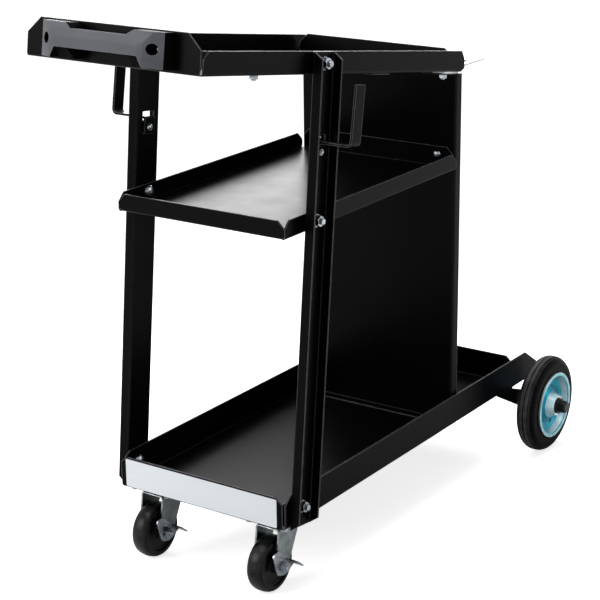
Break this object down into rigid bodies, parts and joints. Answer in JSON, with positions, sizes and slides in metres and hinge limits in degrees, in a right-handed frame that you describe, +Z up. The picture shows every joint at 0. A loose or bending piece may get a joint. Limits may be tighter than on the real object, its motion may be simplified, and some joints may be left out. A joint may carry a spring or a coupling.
{
  "type": "welding cart",
  "caption": "Three-tier welding cart with a sloped machine tray, middle shelf, cylinder cradle, cable hooks, grip handle, large rear wheels and braked swivel casters.",
  "frame": {"origin": "on the ground, under the middle of the cart's overall box", "axes": "+X to the cart's right when seen from the handle end looking to the rear wheels, +Y to the rear wheels and cylinder bay, +Z up"},
  "size_m": [0.4336, 0.9051, 0.7707],
  "materials": {
    "black_steel": "semi-gloss black powder coat",
    "silver_plate": "satin",
    "grey_plastic": "fine grain",
    "black_plastic": "satin",
    "zinc": "bright zinc plate",
    "rim_zinc": "blue zinc plate",
    "rubber": "moulded"
  },
  "bodies": {
    "cart": {"bottom_tray": "black_steel", "label_plate": "silver_plate", "left_upright": "black_steel", "right_upright": "black_steel", "middle_shelf": "black_steel", "back_panel": "black_steel", "top_tray": "black_steel", "tray_stiffener": "black_steel", "handle": "grey_plastic", "handle_screws": "zinc", "handle_nuts": "zinc", "cylinder_cradle": "zinc", "left_cable_hook": "black_steel", "right_cable_hook": "black_steel", "hook_bolts": "zinc", "hook_nuts": "zinc", "upright_bolts": "zinc", "upright_washers": "zinc", "upright_nuts": "zinc", "upright_spacers": "zinc", "shelf_bolts": "zinc", "shelf_nuts": "zinc", "tray_bolts": "zinc", "tray_nuts": "zinc", "rear_axle": "zinc", "axle_washers": "zinc", "left_axle_cap": "black_plastic", "right_axle_cap": "black_plastic", "left_caster_plate": "zinc", "left_caster_bolts": "zinc", "right_caster_plate": "zinc", "right_caster_bolts": "zinc"},
    "left_wheel": {"left_tyre": "rubber", "left_rim": "rim_zinc", "left_hub": "black_plastic"},
    "right_wheel": {"right_tyre": "rubber", "right_rim": "rim_zinc", "right_hub": "black_plastic"},
    "left_caster": {"left_caster_fork": "zinc", "left_caster_axle": "zinc"},
    "left_caster_wheel": {"left_caster_hub": "grey_plastic", "left_caster_tread": "rubber"},
    "left_brake": {"left_caster_brake": "zinc"},
    "right_caster": {"right_caster_fork": "zinc", "right_caster_axle": "zinc"},
    "right_caster_wheel": {"right_caster_hub": "grey_plastic", "right_caster_tread": "rubber"},
    "right_brake": {"right_caster_brake": "zinc"}
  },
  "joints": [
    {"name": "left_wheel_spin", "type": "hinge", "parent": "cart", "child": "left_wheel", "pos_m": [-0.178, 0.37755, 0.075], "axis": [1, 0, 0], "continuous": true},
    {"name": "left_caster_swivel", "type": "hinge", "parent": "cart", "child": "left_caster", "pos_m": [-0.097, -0.23845, 0.092], "axis": [0, 0, 1], "continuous": true},
    {"name": "left_caster_roll", "type": "hinge", "parent": "left_caster", "child": "left_caster_wheel", "pos_m": [-0.097, -0.25745, 0.0385], "axis": [1, 0, 0], "continuous": true},
    {"name": "left_brake_pedal", "type": "hinge", "parent": "left_caster", "child": "left_brake", "pos_m": [-0.097, -0.25745, 0.0385], "axis": [1, 0, 0], "range_deg": [-20, 0]},
    {"name": "right_wheel_spin", "type": "hinge", "parent": "cart", "child": "right_wheel", "pos_m": [0.178, 0.37755, 0.075], "axis": [1, 0, 0], "continuous": true},
    {"name": "right_caster_swivel", "type": "hinge", "parent": "cart", "child": "right_caster", "pos_m": [0.097, -0.23845, 0.092], "axis": [0, 0, 1], "continuous": true},
    {"name": "right_caster_roll", "type": "hinge", "parent": "right_caster", "child": "right_caster_wheel", "pos_m": [0.097, -0.25745, 0.0385], "axis": [1, 0, 0], "continuous": true},
    {"name": "right_brake_pedal", "type": "hinge", "parent": "right_caster", "child": "right_brake", "pos_m": [0.097, -0.25745, 0.0385], "axis": [1, 0, 0], "range_deg": [-20, 0]}
  ]
}
